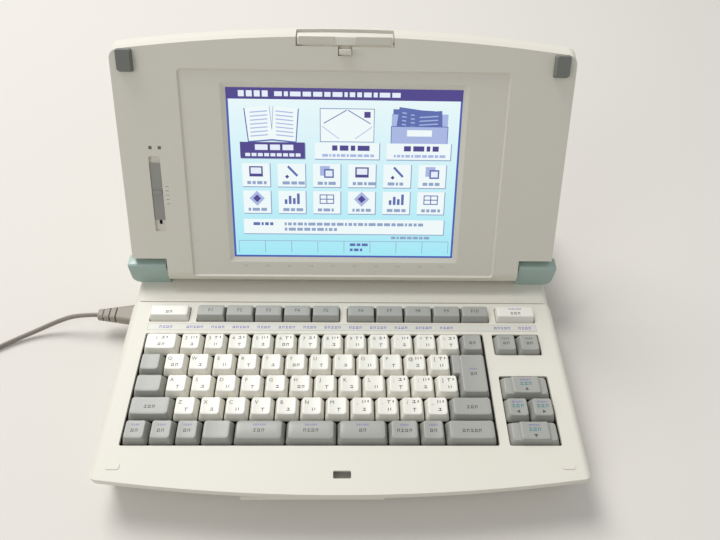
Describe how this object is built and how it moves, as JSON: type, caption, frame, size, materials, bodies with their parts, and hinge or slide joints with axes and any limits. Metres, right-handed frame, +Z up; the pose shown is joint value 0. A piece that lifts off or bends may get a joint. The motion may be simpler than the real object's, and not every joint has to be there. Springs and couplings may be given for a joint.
{
  "type": "electronic word processor",
  "caption": "Portable word processor: full keyboard, hinged lid with a flat screen, and a printer in the housing behind it.",
  "frame": {"origin": "under the middle of the base, on the plane that the rubber feet stand on", "axes": "+X to the user's right, along the width; +Y to the rear; +Z up"},
  "size_m": [0.6344, 0.306, 0.2182],
  "materials": {
    "case": "fine moulded texture, warm ivory",
    "lid_case": "fine moulded texture, warm ivory",
    "bezel": "fine moulded texture, pale beige grey",
    "ivory_key": "smooth satin caps",
    "gray_key": "smooth satin caps",
    "teal": "fine moulded texture, grey green",
    "pad_rubber": "soft matt rubber",
    "foot_rubber": "soft matt rubber",
    "dome_rubber": "moulded silicone",
    "steel": "zinc plated",
    "inner_plastic": "moulded, dark",
    "film": "printed polyester film",
    "board": "glass fibre board with solder resist",
    "glass": "screen glass",
    "module": "display frame",
    "tube_glass": "frosted lamp",
    "knob": "satin moulded knob",
    "latch": "fine moulded texture, warm ivory",
    "roller": "ground rubber roller",
    "gear": "acetal",
    "dark_plastic": "moulded, dark",
    "motor_can": "pressed can",
    "cord": "twin flex sheath, warm grey",
    "plug": "moulded flex plug, warm grey"
  },
  "bodies": {
    "base": {"ac_inlet": "dark_plastic", "bottom_case": "case", "carriage_belt": "roller", "carriage_motor": "motor_can", "case_screws": "steel", "cord_coil": "cord", "cord_connector": "plug", "dome_sheet": "dome_rubber", "feed_motor": "motor_can", "guide_rods": "steel", "hinge_knuckles": "teal", "hinge_pins": "steel", "key_base_plate": "steel", "key_frame": "inner_plastic", "main_board": "board", "mains_plug": "plug", "membrane_circuit": "film", "power_board": "board", "power_cord": "cord", "printer_chassis": "steel", "printer_housing": "case", "rubber_feet": "foot_rubber", "top_case": "case"},
    "lid": {"lid_front_bezel": "bezel", "lid_back_shell": "lid_case", "lid_screws": "steel", "lid_bumpers": "pad_rubber", "lcd_glass": "glass", "lcd_panel": "module", "backlight_tube": "tube_glass", "inverter_board": "board"},
    "contrast_knob": {"contrast_knob": "knob"},
    "latch_bar": {"latch_bar": "latch"},
    "printer_cover": {"printer_cover": "case"},
    "platen": {"platen_roller": "roller", "platen_gear": "gear"},
    "motor_pinion": {"motor_pinion": "gear"},
    "carriage": {"print_carriage": "dark_plastic", "print_head": "motor_can", "ribbon_cassette": "dark_plastic"},
    "bottom_row_keys": {"bottom_row_keys": "gray_key"},
    "confirm_key": {"confirm_key": "gray_key"},
    "delete_key": {"delete_key": "gray_key"},
    "down_key": {"down_key": "gray_key"},
    "enter_key": {"enter_key": "gray_key"},
    "function_keys_left": {"function_keys_left": "gray_key"},
    "function_keys_right": {"function_keys_right": "gray_key"},
    "home_letter_keys": {"home_letter_keys": "ivory_key"},
    "insert_key": {"insert_key": "gray_key"},
    "left_key": {"left_key": "gray_key"},
    "lower_letter_keys": {"lower_letter_keys": "ivory_key"},
    "number_row_keys": {"number_row_keys": "ivory_key"},
    "paper_feed_key": {"paper_feed_key": "ivory_key"},
    "power_key": {"power_key": "ivory_key"},
    "right_key": {"right_key": "gray_key"},
    "shift_key_left": {"shift_key_left": "gray_key"},
    "shift_key_right": {"shift_key_right": "gray_key"},
    "space_keys": {"space_keys": "gray_key"},
    "up_key": {"up_key": "gray_key"},
    "upper_letter_keys": {"upper_letter_keys": "ivory_key"}
  },
  "joints": [
    {"name": "lid_hinge", "type": "hinge", "parent": "base", "child": "lid", "pos_m": [0, 0.0406, 0.052], "axis": [-1, 0, 0], "range_deg": [-120.2, 9.8]},
    {"name": "contrast_slide", "type": "slide", "parent": "lid", "child": "contrast_knob", "axis": [0, 0.503, 0.8643], "range_m": [-0.0095, 0.0055]},
    {"name": "latch_press", "type": "hinge", "parent": "lid", "child": "latch_bar", "pos_m": [0, 0.13009, 0.21212], "axis": [-1, 0, 0], "range_deg": [0, 6], "stiffness_Nm_per_rad": 0.2, "springref_deg": -5.73},
    {"name": "printer_cover_hinge", "type": "hinge", "parent": "base", "child": "printer_cover", "pos_m": [0, 0.0842, 0.0608], "axis": [1, 0, 0], "range_deg": [0, 50]},
    {"name": "platen_spin", "type": "hinge", "parent": "base", "child": "platen", "pos_m": [0, 0.1186, 0.032], "axis": [1, 0, 0], "continuous": true},
    {"name": "pinion_spin", "type": "hinge", "parent": "base", "child": "motor_pinion", "pos_m": [0.137, 0.1367, 0.032], "axis": [1, 0, 0], "continuous": true},
    {"name": "carriage_slide", "type": "slide", "parent": "base", "child": "carriage", "axis": [1, 0, 0], "range_m": [0, 0.176]},
    {"name": "bottom_row_keys_press", "type": "slide", "parent": "base", "child": "bottom_row_keys", "axis": [0, 0, -1], "range_m": [0, 0.003], "stiffness_N_per_m": 1200, "springref_m": -0.001},
    {"name": "confirm_key_press", "type": "slide", "parent": "base", "child": "confirm_key", "axis": [0, 0, -1], "range_m": [0, 0.003], "stiffness_N_per_m": 200, "springref_m": -0.001},
    {"name": "delete_key_press", "type": "slide", "parent": "base", "child": "delete_key", "axis": [0, 0, -1], "range_m": [0, 0.003], "stiffness_N_per_m": 200, "springref_m": -0.001},
    {"name": "down_key_press", "type": "slide", "parent": "base", "child": "down_key", "axis": [0, 0, -1], "range_m": [0, 0.003], "stiffness_N_per_m": 200, "springref_m": -0.001},
    {"name": "enter_key_press", "type": "slide", "parent": "base", "child": "enter_key", "axis": [0, 0, -1], "range_m": [0, 0.003], "stiffness_N_per_m": 200, "springref_m": -0.001},
    {"name": "function_keys_left_press", "type": "slide", "parent": "base", "child": "function_keys_left", "axis": [0, 0, -1], "range_m": [0, 0.003], "stiffness_N_per_m": 1000, "springref_m": -0.001},
    {"name": "function_keys_right_press", "type": "slide", "parent": "base", "child": "function_keys_right", "axis": [0, 0, -1], "range_m": [0, 0.003], "stiffness_N_per_m": 1000, "springref_m": -0.001},
    {"name": "home_letter_keys_press", "type": "slide", "parent": "base", "child": "home_letter_keys", "axis": [0, 0, -1], "range_m": [0, 0.003], "stiffness_N_per_m": 2600, "springref_m": -0.001},
    {"name": "insert_key_press", "type": "slide", "parent": "base", "child": "insert_key", "axis": [0, 0, -1], "range_m": [0, 0.003], "stiffness_N_per_m": 200, "springref_m": -0.001},
    {"name": "left_key_press", "type": "slide", "parent": "base", "child": "left_key", "axis": [0, 0, -1], "range_m": [0, 0.003], "stiffness_N_per_m": 200, "springref_m": -0.001},
    {"name": "lower_letter_keys_press", "type": "slide", "parent": "base", "child": "lower_letter_keys", "axis": [0, 0, -1], "range_m": [0, 0.003], "stiffness_N_per_m": 2200, "springref_m": -0.001},
    {"name": "number_row_keys_press", "type": "slide", "parent": "base", "child": "number_row_keys", "axis": [0, 0, -1], "range_m": [0, 0.003], "stiffness_N_per_m": 2800, "springref_m": -0.001},
    {"name": "paper_feed_key_press", "type": "slide", "parent": "base", "child": "paper_feed_key", "axis": [0, 0, -1], "range_m": [0, 0.003], "stiffness_N_per_m": 200, "springref_m": -0.001},
    {"name": "power_key_press", "type": "slide", "parent": "base", "child": "power_key", "axis": [0, 0, -1], "range_m": [0, 0.003], "stiffness_N_per_m": 200, "springref_m": -0.001},
    {"name": "right_key_press", "type": "slide", "parent": "base", "child": "right_key", "axis": [0, 0, -1], "range_m": [0, 0.003], "stiffness_N_per_m": 200, "springref_m": -0.001},
    {"name": "shift_key_left_press", "type": "slide", "parent": "base", "child": "shift_key_left", "axis": [0, 0, -1], "range_m": [0, 0.003], "stiffness_N_per_m": 200, "springref_m": -0.001},
    {"name": "shift_key_right_press", "type": "slide", "parent": "base", "child": "shift_key_right", "axis": [0, 0, -1], "range_m": [0, 0.003], "stiffness_N_per_m": 200, "springref_m": -0.001},
    {"name": "space_keys_press", "type": "slide", "parent": "base", "child": "space_keys", "axis": [0, 0, -1], "range_m": [0, 0.003], "stiffness_N_per_m": 600, "springref_m": -0.001, "deforming": ["dome_sheet"]},
    {"name": "up_key_press", "type": "slide", "parent": "base", "child": "up_key", "axis": [0, 0, -1], "range_m": [0, 0.003], "stiffness_N_per_m": 200, "springref_m": -0.001},
    {"name": "upper_letter_keys_press", "type": "slide", "parent": "base", "child": "upper_letter_keys", "axis": [0, 0, -1], "range_m": [0, 0.003], "stiffness_N_per_m": 2600, "springref_m": -0.001}
  ],
  "couplings": [
    {"joint": "pinion_spin", "follows": "platen_spin", "ratio": -2}
  ]
}
